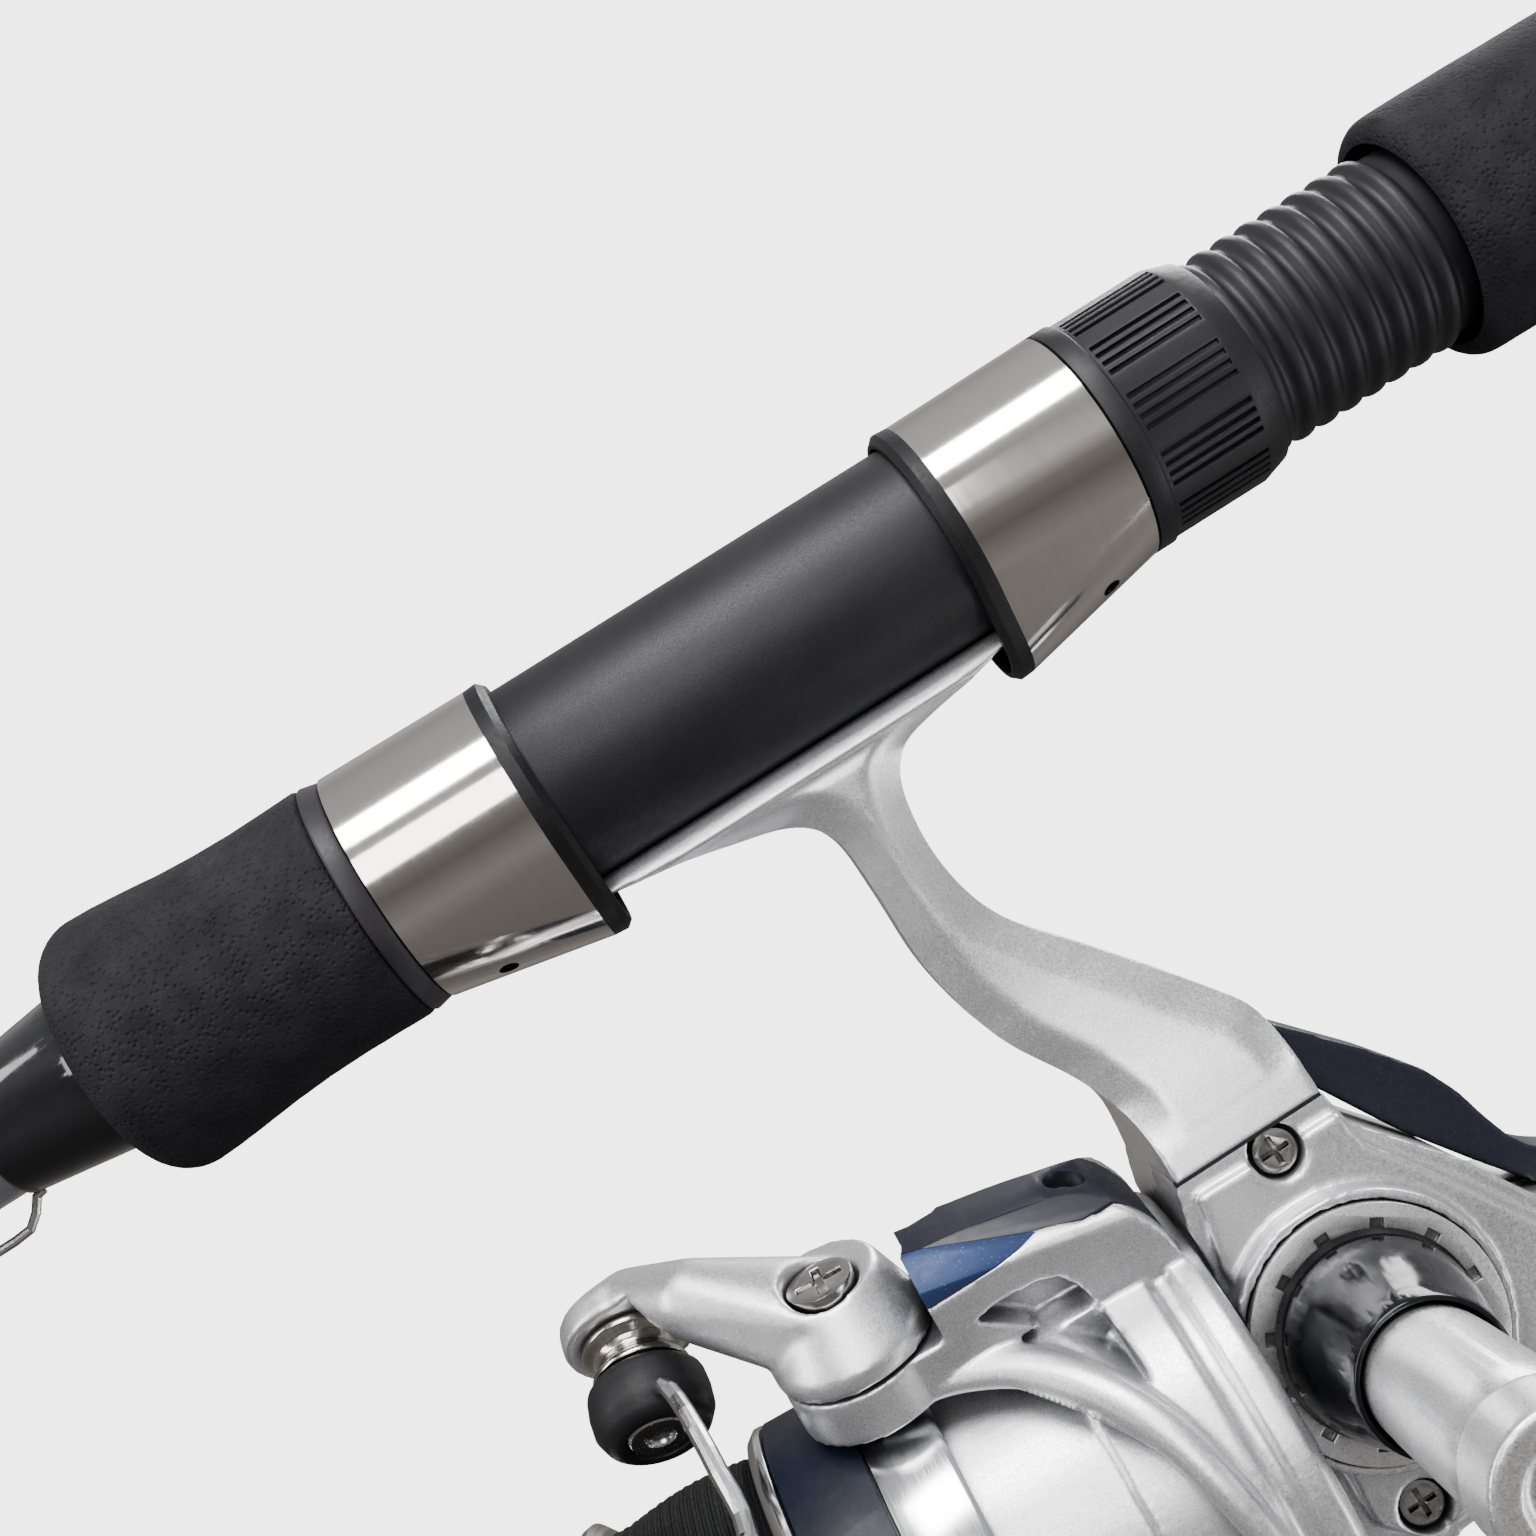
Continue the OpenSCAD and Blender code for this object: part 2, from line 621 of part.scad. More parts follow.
module knob_cap() {
  color("#b9b9bd") on_crank() rotate(crank_swing) translate([0, crank_len, knob_y]) difference() {
    translate([0, 0, 28.4]) cylinder(h = 1.6, r = 6.35);
    translate([0, 0, 29.4]) cylinder(h = 2, r = 4.4);
  }
}

// ---- reel: oscillation and main shaft -----------------------------------------------------------

module oscillation_gear() {
  color("#e4e0d4") in_reel() translate([osc_c[0], 0, osc_c[1]]) rotate([-90, 0, 0]) {
    translate([0, 0, -7]) wheel(osc_r, 3, 17);
    translate([0, 0, -10]) cylinder(h = 3.5, r = 1.9);
    rotate(-61) translate([osc_crank, 0, -4.2]) cylinder(h = 1.2, r = 1);
  }
}

module oscillation_slider() {
  color("#8d8d92") in_reel() difference() {
    translate([-12.6, -2.6, -2.8]) cube([5.2, 5.2, 6.9]);
    bar(-13, -7, shaft_r);
    translate([-11.3, -3, -2]) cube([2.6, 1, 5.4]);
  }
}

module main_shaft() {
  color("#c4c4c8") in_reel() {
    bar(-12.6, 81, shaft_r);
    difference() {
      bar(52.6, 54, 6);
      bar(52, 55, 1.9);
    }
  }
}

// ---- reel: rotor --------------------------------------------------------------------------------

module pinion() {
  color("#c8a45c") in_reel() difference() {
    union() {
      bar(-1, 17.2, 4.2);
      bar(17, 42.4, 3.5);
    }
    bar(-2, 43, shaft_r + run);
    for (i = [0:pinion_teeth - 1]) rotate([360 / pinion_teeth * i, 0, 0]) translate([-2, -0.7, 3.3])
      cube([9.4, 1.4, 2]);
  }
}

// Outer outline of a rotor arm with its inlays, seen along its tangent, [along the axis, out from the axis].
arm_line = concat(smooth([[12.2, 23], [12.6, 28.2], [14.6, 32.2], [17.6, 34.6], [21.4, 35.8], [28,
  37], [35.6, 38]], 3),
  [[35.6, boss_top], [40, boss_top], [40, 26.6], [33, 26.4]], smooth([[27, 26.6], [22.8, 26.2],
    [20.7, 25]], 3));

// The same arm under its dark cover.
arm_core_line = concat(smooth([[13.2, 24], [14.3, 27.6], [16.2, 31], [18.6, 33.2], [22, 34.4], [28,
  35.5], [35.6, 36.5]], 3),
  [[35.6, 22], [13.2, 22]]);

// Strip that the cover fills on top of an arm, in plan, [along the axis, across].
cover_strip = [[11, 4], [15, 5], [19, 5.7], [23, 5.4], [29, 4.2], [35.6, 2.9]];

// Recess between an arm and the arch below it.
arm_window = smooth([[32.6, 30.4], [28, 30.8], [23.6, 30.2], [21.6, 26.2], [20.8, 21.2], [21.9,
  21.8], [24.8, 24.6],
  [28.6, 27.6], [32.6, 30.4]], 2);

// A plate square to an arm's tangent, from y0 to y1 along the tangent.
module arm_plate(points, y0, y1) { plate(points, y0, y1); }

// An outline across an arm, with the arm's rounded shoulders taken off.
module crowned(points, half) {
  difference() {
    arm_plate(points, -half, half);
    for (s = [-1, 1]) translate([36, s * 3, 38.4]) rotate([0, -10.2, 0]) {
      rotate([-32 * s, 0, 0]) translate([-30, s > 0 ? 0 : -20, 0]) cube([40, 20, 20]);
      rotate([-50 * s, 0, 0]) translate([-30, s > 0 ? 0 : -20, 1.2]) cube([40, 20, 20]);
    }
  }
}

// Prism over the strip of an arm's cover.
module over_strip(grow = 0) {
  m = len(cover_strip) - 1;
  linear_extrude(height = 50) polygon(concat([for (p = cover_strip) [p[0], p[1] + grow]],
    [for (i = [m:-1:0]) [cover_strip[i][0], -cover_strip[i][1] - grow]]));
}

// Shoulders of an arm that its coloured insets fill.
module over_shoulders() {
  arm_plate([[22.8, 34.6], [36, 33.8], [36, 45], [22.8, 45]], -10, 10);
}

// Notch beside the hub, where the open bail's arm lies across a rotor arm.
module bail_way() {
  translate([0, 0, 33]) linear_extrude(height = 17)
    polygon([[46, -14], [26, -14], [26.6, -7.4], [28.6, -4.6], [31, -2.5], [33.5, -1.7], [46, -1.7]]);
}

// Space swept by the bail's hub.
module hub_space() { translate([pivot_u, 0, boss_top]) cylinder(h = 20, r = 8.2 + gap); }

module rotor() {
  color("#d6d6d9") in_reel() {
    difference() {
      turned([[21.6, 11], [25.6, 11], [26.4, 12], [26.4, 14.2], [25.7, 14.8], [25.7, 16.2], [26.4,
        16.8], [26.4, 38],
        [24.5, 38], [24.5, 27], [cup_r, 27], [cup_r, 43], [20.4, 43], [20.4, 38.2], [6, 38.2], [6,
          39.6], [3.5, 39.6],
        [3.5, 35], [18.6, 35], [20, 33], [20, 17], [21.6, 15]]);
      in_arm() translate([44.5, 0, 0]) rotate([90, 0, 0]) difference() {
        cylinder(h = 80, r = 27.3, center = true);
        rotate([-90, 0, 0]) translate([-30, 0, 0]) rotate([0, 90, 0]) cylinder(h = 60, r = cup_r + 0.5);
      }
      for (s = [0, 1]) rotate([-bail_angle - 90 - 180 * s, 0, 0]) translate([28, -6, 15])
        cube([8, 12, 12]);
      for (side = [0, 1]) for (y = [-30, 6.8]) in_arm(side) difference() {
        arm_plate(arm_window, y, y + 23.2);
        bar(0, 60, 23.3);
      }
    }
    for (side = [0, 1]) in_arm(side) difference() {
      union() {
        difference() {
          crowned(arm_line, 6.8);
          difference() {
            over_strip();
            arm_plate(arm_core_line, -10, 10);
          }
          over_shoulders();
        }
        intersection() {
          crowned(arm_line, 6.8);
          arm_plate(arm_core_line, -10, 10);
          over_strip();
        }
        translate([pivot_u, 0, 25]) cylinder(h = boss_top - 25, r = 8);
      }
      for (y = [-30, 3.2]) arm_plate(arm_window, y, y + 26.8);
      hub_space();
      bail_way();
      translate([pivot_u, 0, 24]) cylinder(h = 12, r = 2.5);
    }
  }
}

module rotor_nut() {
  color("#c4c4c8") in_reel() difference() {
    rotate([0, 90, 0]) translate([0, 0, 39.7]) cylinder(h = 2.6, r = 6.2, $fn = 6);
    bar(39, 43, 3.5);
  }
}

module arm_covers() {
  color("#34343f") in_reel() for (side = [0, 1]) in_arm(side) difference() {
    intersection() {
      crowned(arm_line, 6.8);
      over_strip();
    }
    arm_plate(arm_core_line, -10, 10);
    bar(10, 42, 26.45);
    hub_space();
    bail_way();
    translate([18.5, 0, 30]) cylinder(h = 10, r = 1.9);
  }
}

module arm_insets() {
  color("#3a4868") in_reel() for (side = [0, 1]) in_arm(side) difference() {
    intersection() {
      crowned(arm_line, 6.8);
      over_shoulders();
    }
    over_strip();
    hub_space();
    bail_way();
  }
}

module pivot_screws() {
  color("#b9b9bd") in_reel() for (side = [0, 1]) in_arm(side) translate([pivot_u, 0, 0]) difference() {
    union() {
      translate([0, 0, 25.4]) cylinder(h = pivot_top - 26, r = 2.5);
      translate([0, 0, pivot_top - 0.7]) cylinder(h = 1.5, r = 3.4);
    }
    translate([-2.4, -0.45, pivot_top + 0.1]) cube([4.8, 0.9, 2]);
    translate([-0.45, -2.4, pivot_top + 0.1]) cube([0.9, 4.8, 2]);
  }
}

// ---- reel: bail ---------------------------------------------------------------------------------

// Hub that turns on a pivot screw, with a recess for the screw's head.
module pivot_disc() {
  difference() {
    hull() {
      translate([pivot_u, 0, boss_top + gap]) cylinder(h = 2, r = 8.2, $fn = 48);
      translate([pivot_u, -1.2, 34.2]) cylinder(h = 0.4, r = 7, $fn = 48);
      translate([pivot_u, -2.2, pivot_top - 0.3]) cylinder(h = 0.3, r = 5.9, $fn = 48);
    }
    translate([pivot_u, 0, boss_top]) cylinder(h = 9, r = 2.5 + run);
    translate([pivot_u, 0, pivot_top - 1]) cylinder(h = 3, r = 3.7);
  }
}

module bail_arm() {
  mid = [55.5, 3, 39.8];
  crest = [61.4, -2.6, 41.4];
  color("#cfcfd3") in_reel() {
    in_arm() pivot_disc();
    difference() {
      union() {
        hull() {
          in_arm() translate([pivot_u + 1.4, -1.2, 32.6]) cylinder(h = 4.6, r1 = 6.6, r2 = 5.2, $fn = 32);
          translate(mid) sphere(r = 4, $fn = 32);
        }
        hull() {
          translate(mid) sphere(r = 4, $fn = 32);
          translate(crest) sphere(r = 3.3, $fn = 32);
        }
        hull() {
          translate(crest) sphere(r = 3.3, $fn = 32);
          on_roller() translate([0, 0, -3]) cylinder(h = 3, r = 7, $fn = 32);
        }
      }
      in_arm() translate([pivot_u, 0, 20]) cylinder(h = 30, r = 3.7);
      on_roller() cylinder(h = 12, r = 8);
    }
    on_roller() translate([0, 0, -0.5]) cylinder(h = 7.5, r = shaft_r);
  }
}

module bail_cam() {
  color("#cfcfd3") in_reel() in_arm(1) {
    pivot_disc();
    difference() {
      hull() {
        translate([pivot_u + 3.4, -3.6, 31]) cylinder(h = 4.4, r = 3, $fn = 32);
        translate([51.3, -9.6, 31.9]) sphere(r = 2.3, $fn = 32);
      }
      translate([pivot_u, 0, 20]) cylinder(h = 30, r = 3.7);
    }
  }
}

// The bail's wire from the roller's cap round the front of the spool to the cam: [out along the arm,
// forward of the pivot, towards the crank side].
wire_line = [[33.6, 19.6, -4.6], [36, 17.6, -1], [35.2, 16.4, 4], [32, 15.6, 11], [29, 15.4, 17.2],
  [27.4, 19.5, 23],
  [25.6, 25, 27], [21, 29, 29.8], [14, 32, 32], [5, 33.6, 33.6], [-5, 33.4, 33.4], [-14, 31, 31.4],
  [-21, 27.8, 29.2], [-26.4, 20.8, 24.2], [-29.8, 13.4, 17.2], [-31.6, 9, 11.2]];

module bail_wire() {
  path = [for (p = smooth(wire_line, 3)) [pivot_u + p[1], p[2], p[0]]];
  m = len(path) - 1;
  color("#c4c4c8") in_reel() in_arm() swept(path, [for (i = [0:m]) mix(0.8, 1.2, min(1, i / m * 2))],
    ref = [0, 1, 1], n = 12);
}

module line_roller() {
  color("#b5b2ac") in_reel() on_roller() rotate_extrude()
    polygon([[shaft_r + run, 0.3], [5.4, 0.3], [5.4, 0.9],
    [4.4, 1.6], [4.1, 2.4], [4.4, 3.2], [5, 3.7], [5, 4.3], [shaft_r + run, 4.3]]);
}

module roller_cap() {
  color("#26262b") in_reel() on_roller() rotate_extrude()
    polygon([[shaft_r, 4.6], [4.9, 4.6], [6, 5.4], [6.2, 7.4],
    [6.1, 9.2], [5.3, 10.8], [4.4, 11.3], [3.4, 11.4], [3.4, 10.4], [0, 10.4], [0, 7], [shaft_r, 7]]);
}

// ---- reel: spool --------------------------------------------------------------------------------

module spool() {
  color("#d8d8dc") in_reel() difference() {
    turned([[shaft_r + run, 54.4], [13.4, 54.4], [22.7, 54.4], [22.7, 40], [23.6, 40], [23.8,
      40.6], [23.8, 47.4],
      [23.2, 47.6], [23.2, 56.2], [spool_r, 56.5], [spool_r, 57.2], [23.2, 58.2], [14, 58.2], [14, 75],
      [22.4, 75], [23.6, 76], [23.4, 77], [21.6, 77.8], [14, 76.4], [12.4, 76.4], [12.4, 69],
        [shaft_r + run, 69]]);
    bar(53, 54.5, 6.4);
  }
}

module spool_label() { color("#23242f") in_reel() tube(47.7, 56.1, 24, 23.2); }

module line_pack() {
  color("#26262a") in_reel() turned([[14, 58.2], [line_r - 1, 58.2], [line_r - 0.8, 60], [line_r, 63.5],
    [line_r, 71], [line_r - 1.2, 75], [14, 75]]);
}

module drag_washers() {
  color("#8d8d92") in_reel() for (i = [0:4]) tube(69 + 1.1 * i, 70 + 1.1 * i, 12.1, shaft_r + 0.3);
}

module drag_knob() {
  color("#2c2c31") in_reel() difference() {
    turned([[shaft_r + run, 74.9], [9.6, 74.9], [11.6, 76.2], [11.6, 79.6], [10.4, 81.8], [7, 82],
      [0, 82],
      [0, 81.2], [shaft_r + run, 81.2]]);
    for (i = [0:11]) rotate([30 * i, 0, 0]) translate([0, 0, 12.6]) bar(77.4, 84, 1.9);
  }
}

fore_grip();
winding_check();
hook_keeper();
thread_wraps();
butt_section();
grip_collar();
front_hood();
front_hood_liner();
seat_tube();
rear_hood();
rear_hood_liner();
hood_nut();
rear_grip();
butt_cap();
section_2();
section_3();
section_4();
tip_section();
butt_guide_frame();
butt_guide_ring();
guide_2();
guide_3();
guide_4();
tip_guide();
reel_frame();
side_cover();
cover_screws();
body_guard();
hub_ring();
dust_cap();
case_bearings();
pinion_bearing();
one_way_clutch();
anti_reverse_lever();
drive_gear();
handle_cup();
crank_shank();
crank_arm();
knob_spindle();
knob();
knob_cap();
oscillation_gear();
oscillation_slider();
main_shaft();
pinion();
rotor();
rotor_nut();
arm_covers();
arm_insets();
pivot_screws();
bail_arm();
bail_cam();
bail_wire();
line_roller();
roller_cap();
spool();
spool_label();
line_pack();
drag_washers();
drag_knob();
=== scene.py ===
import json
import math

import bmesh
import bpy
from mathutils import Matrix, Vector, kdtree, noise


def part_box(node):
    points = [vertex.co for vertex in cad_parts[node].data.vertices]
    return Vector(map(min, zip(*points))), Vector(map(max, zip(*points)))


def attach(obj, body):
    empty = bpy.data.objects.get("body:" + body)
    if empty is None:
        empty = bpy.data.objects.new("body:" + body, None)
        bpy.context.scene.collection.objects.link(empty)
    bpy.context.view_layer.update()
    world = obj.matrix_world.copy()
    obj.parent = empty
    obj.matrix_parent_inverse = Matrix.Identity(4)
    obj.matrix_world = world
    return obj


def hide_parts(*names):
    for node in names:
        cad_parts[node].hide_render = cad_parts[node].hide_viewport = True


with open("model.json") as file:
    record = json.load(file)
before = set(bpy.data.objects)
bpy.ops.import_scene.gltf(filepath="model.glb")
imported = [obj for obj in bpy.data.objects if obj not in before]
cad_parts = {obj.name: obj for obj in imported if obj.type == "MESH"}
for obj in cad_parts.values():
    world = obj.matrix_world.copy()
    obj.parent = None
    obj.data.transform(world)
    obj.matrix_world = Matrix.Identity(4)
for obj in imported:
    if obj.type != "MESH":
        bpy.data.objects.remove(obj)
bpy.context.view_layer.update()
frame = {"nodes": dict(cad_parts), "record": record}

RECORD = frame["record"]
BODY = {n: b for b, nodes in RECORD["behaviour"]["bodies"].items() for n in nodes}
SLOT = {s["node"]: s["material_slot"] for s in RECORD["subparts"]}
MM = 0.001
REEL_AT = (-25.0, 0.0, -92.7)  # where the reel's own axis starts in the row frame, in millimetres
TILT = math.radians(3.5)  # how far the reel's axis is turned from the rod's
WELD = 2e-6  # vertices closer than this are one, in metres


# ---- materials -----------------------------------------------------------------------------------------

class Mat:
    """A node material whose pattern follows the object's own coordinates in millimetres."""

    def __init__(self, name, colour, rough, metal=0.0):
        self.mat = bpy.data.materials.new(name)
        self.mat.use_nodes = True
        self.t = self.mat.node_tree
        self.bsdf = self.t.nodes["Principled BSDF"]
        self.set("Base Color", (*colour, 1))
        self.set("Roughness", rough)
        self.set("Metallic", metal)
        self.colour = colour
        coord = self.t.nodes.new("ShaderNodeTexCoord")
        self.mm = self.t.nodes.new("ShaderNodeVectorMath")
        self.mm.operation = "SCALE"
        self.mm.inputs["Scale"].default_value = 1000.0
        self.t.links.new(coord.outputs["Object"], self.mm.inputs[0])
        self.p = self.mm.outputs[0]
        self.normal = None

    def set(self, key, value):
        self.bsdf.inputs[key].default_value = value
        return self

    def link(self, a, b):
        self.t.links.new(a, b)

    def stretched(self, scale):
        n = self.t.nodes.new("ShaderNodeVectorMath")
        n.operation = "MULTIPLY"
        n.inputs[1].default_value = scale
        self.link(self.p, n.inputs[0])
        return n.outputs[0]

    def tilted(self, angle, scale):
        """The pattern's coordinates turned about Y, so that X runs along a tilted axis."""
        n = self.t.nodes.new("ShaderNodeMapping")
        n.vector_type = "TEXTURE"
        n.inputs["Rotation"].default_value = (0, -angle, 0)
        n.inputs["Location"].default_value = REEL_AT
        self.link(self.p, n.inputs["Vector"])
        m = self.t.nodes.new("ShaderNodeVectorMath")
        m.operation = "MULTIPLY"
        m.inputs[1].default_value = scale
        self.link(n.outputs[0], m.inputs[0])
        return m.outputs[0]

    def noise(self, scale, detail=3.0, vector=None, rough=0.55):
        n = self.t.nodes.new("ShaderNodeTexNoise")
        n.inputs["Scale"].default_value = scale
        n.inputs["Detail"].default_value = detail
        n.inputs["Roughness"].default_value = rough
        self.link(vector or self.p, n.inputs["Vector"])
        return n.outputs["Fac"]

    def cells(self, scale, feature="F1", vector=None):
        n = self.t.nodes.new("ShaderNodeTexVoronoi")
        n.feature = feature
        n.inputs["Scale"].default_value = scale
        self.link(vector or self.p, n.inputs["Vector"])
        return n.outputs["Distance"]

    def waves(self, scale, vector=None, distortion=0.0, direction="X"):
        n = self.t.nodes.new("ShaderNodeTexWave")
        n.bands_direction = direction
        n.inputs["Scale"].default_value = scale
        n.inputs["Distortion"].default_value = distortion
        self.link(vector or self.p, n.inputs["Vector"])
        return n.outputs["Fac"]

    def span(self, fac, a, b, c=0.0, d=1.0):
        n = self.t.nodes.new("ShaderNodeMapRange")
        for k, v in zip(("From Min", "From Max", "To Min", "To Max"), (a, b, c, d)):
            n.inputs[k].default_value = v
        self.link(fac, n.inputs["Value"])
        return n.outputs["Result"]

    def tint(self, fac, low, high):
        """Colour between two values as fac goes from 0 to 1."""
        n = self.t.nodes.new("ShaderNodeMix")
        n.data_type = "RGBA"
        n.inputs["A"].default_value = (*low, 1)
        n.inputs["B"].default_value = (*high, 1)
        self.link(fac, n.inputs["Factor"])
        self.link(n.outputs["Result"], self.bsdf.inputs["Base Color"])
        return self

    def rough(self, fac, low, high):
        self.link(self.span(fac, 0.25, 0.75, low, high), self.bsdf.inputs["Roughness"])
        return self

    def painted_cavity_shade(self, reach_mm, dark):
        """Painted shade: darkens the base colour where the surface is hemmed in, in hollows, gaps and
        corners.
        """
        ao = self.t.nodes.new("ShaderNodeAmbientOcclusion")
        ao.samples = 6
        ao.inputs["Distance"].default_value = reach_mm * MM
        k = self.span(ao.outputs["AO"], 0.25, 0.85, dark, 1.0)
        n = self.t.nodes.new("ShaderNodeMix")
        n.data_type = "RGBA"
        n.blend_type = "MULTIPLY"
        n.inputs["Factor"].default_value = 1.0
        base = self.bsdf.inputs["Base Color"]
        if base.is_linked:
            self.link(base.links[0].from_socket, n.inputs["A"])
        else:
            n.inputs["A"].default_value = base.default_value
        self.link(k, n.inputs["B"])
        self.link(n.outputs["Result"], base)
        return self

    def bump(self, fac, height_mm, strength=1.0):
        n = self.t.nodes.new("ShaderNodeBump")
        n.inputs["Strength"].default_value = strength
        n.inputs["Distance"].default_value = height_mm * MM
        self.link(fac, n.inputs["Height"])
        if self.normal:
            self.link(self.normal, n.inputs["Normal"])
        self.normal = n.outputs["Normal"]
        self.link(self.normal, self.bsdf.inputs["Normal"])
        return self


def scaled(c, k):
    return tuple(min(1.0, v * k) for v in c)


def foam():
    m = Mat("foam", (0.014, 0.0135, 0.016), 0.9)
    fine = m.noise(2.6, 5)
    m.tint(m.span(m.noise(0.25, 3), 0.3, 0.7), (0.0105, 0.0100, 0.0120), (0.0190, 0.0182, 0.0212))
    m.rough(fine, 0.82, 0.97)
    m.bump(m.span(m.cells(1.6), 0.0, 0.45), 0.22, 0.9)
    m.bump(fine, 0.14, 0.9)
    m.set("Specular IOR Level", 0.12)
    return m.mat


def moulded(name, colour, rough, grain=3.0, height=0.03, sparkle=0.0, coat=0.0):
    colour = scaled(colour, 0.5)
    m = Mat(name, colour, rough)
    fine = m.noise(grain, 4)
    m.tint(m.span(m.noise(0.12, 3), 0.3, 0.7), scaled(colour, 0.8), scaled(colour, 1.3))
    m.rough(fine, rough - 0.07, rough + 0.1)
    m.bump(fine, height, 0.5)
    m.set("Specular IOR Level", 0.22 + sparkle)
    if coat:
        m.set("Coat Weight", coat).set("Coat Roughness", 0.04)
    return m.mat


def speckled(name, colour, fleck, rough=0.42, metal=0.0, coat=0.12):
    """Satin paint with pale flecks in it."""
    m = Mat(name, colour, rough, metal)
    dots = m.span(m.cells(2.4), 0.0, 0.16, 1.0, 0.0)
    m.tint(dots, colour, fleck)
    m.rough(m.noise(1.5, 3), rough - 0.06, rough + 0.1)
    m.bump(m.noise(1.1, 4), 0.03, 0.5)
    # Painted shade: the base colour darkens in hollows and gaps.
    m.painted_cavity_shade(2.5, 0.3)
    m.set("Specular IOR Level", 0.25)
    m.set("Coat Weight", coat).set("Coat Roughness", 0.2)
    return m.mat


def silver_paint(name="silver_paint", colour=(0.68, 0.68, 0.70), rough=0.34):
    """Metallic paint: flakes that glint, an orange-peel clear coat and slight wear in tone."""
    m = Mat(name, colour, rough, 0.88)
    flakes = m.noise(6.5, 2, rough=0.85)
    mixed = m.t.nodes.new("ShaderNodeMath")
    mixed.operation = "ADD"
    m.link(m.span(flakes, 0.35, 0.65, 0.0, 0.75), mixed.inputs[0])
    m.link(m.span(m.noise(0.08, 2), 0.3, 0.7, 0.0, 0.25), mixed.inputs[1])
    m.tint(mixed.outputs[0], scaled(colour, 0.62), scaled(colour, 1.28))
    m.rough(m.noise(3.2, 2), rough - 0.07, rough + 0.12)
    m.bump(flakes, 0.020, 0.8)
    m.bump(m.noise(0.9, 2), 0.02, 0.35)
    # Painted shade: the base colour darkens in hollows and gaps.
    m.painted_cavity_shade(3.5, 0.22)
    m.set("Coat Weight", 0.3).set("Coat Roughness", 0.12)
    return m.mat


def turned_metal(name, colour, rough, lines=9.0, tilt=None, height=0.006, streak=0.12, spread=0.075):
    """Metal with fine marks that run round an axis along X, or along the spool's axis where tilt is given."""
    m = Mat(name, colour, rough, 1.0)
    around = m.tilted(tilt, (lines, 0.05, 0.05)) if tilt is not None else m.stretched((lines, 0.05, 0.05))
    marks = m.noise(1.0, 4, around, 0.7)
    m.tint(m.span(marks, 0.3, 0.7), scaled(colour, 1 - streak), scaled(colour, 1 + streak * 0.6))
    m.rough(marks, max(0.04, rough - spread), rough + spread)
    m.bump(marks, height, 0.6)
    return m.mat


def plain_metal(name, colour, rough, grain=4.0):
    m = Mat(name, colour, rough, 1.0)
    g = m.noise(grain, 3)
    m.tint(m.span(m.noise(0.4, 3), 0.3, 0.7), scaled(colour, 0.86), scaled(colour, 1.1))
    m.rough(g, max(0.05, rough - 0.06), rough + 0.09)
    m.bump(g, 0.008, 0.4)
    # Painted shade: the base colour darkens in hollows and gaps.
    m.painted_cavity_shade(1.2, 0.15)
    return m.mat


def gloss(name, colour, rough=0.12, flake=None, coat=0.8, spec=0.5):
    m = Mat(name, colour, rough)
    m.set("Specular IOR Level", spec)
    if flake:
        m.tint(m.span(m.noise(4.0, 2), 0.45, 0.7), colour, flake)
    else:
        m.tint(m.span(m.noise(0.2, 3), 0.3, 0.7), scaled(colour, 0.8), scaled(colour, 1.25))
    m.rough(m.noise(0.7, 3), max(0.03, rough - 0.05), rough + 0.08)
    m.bump(m.noise(0.5, 2), 0.02, 0.3)
    m.set("Coat Weight", coat).set("Coat Roughness", 0.05)
    return m.mat


def wound_line():
    m = Mat("wound_line", (0.008, 0.008, 0.009), 0.6)
    m.set("Specular IOR Level", 0.10)
    a = m.waves(2.2, m.tilted(TILT, (1, 0.12, 0.05)), 1.2)
    m.tint(a, (0.0015, 0.0015, 0.0018), (0.0095, 0.0095, 0.0105))
    m.bump(a, 0.10, 0.9)
    m.bump(m.noise(6.0, 3), 0.04, 0.5)
    m.rough(m.noise(2.0, 3), 0.42, 0.7)
    return m.mat


def wrapped_thread():
    m = Mat("wrapped_thread", (0.05, 0.05, 0.06), 0.2)
    a = m.waves(1.6)
    m.tint(a, (0.03, 0.03, 0.04), (0.10, 0.10, 0.12))
    m.bump(a, 0.05, 0.7)
    m.set("Coat Weight", 0.9).set("Coat Roughness", 0.06)
    return m.mat


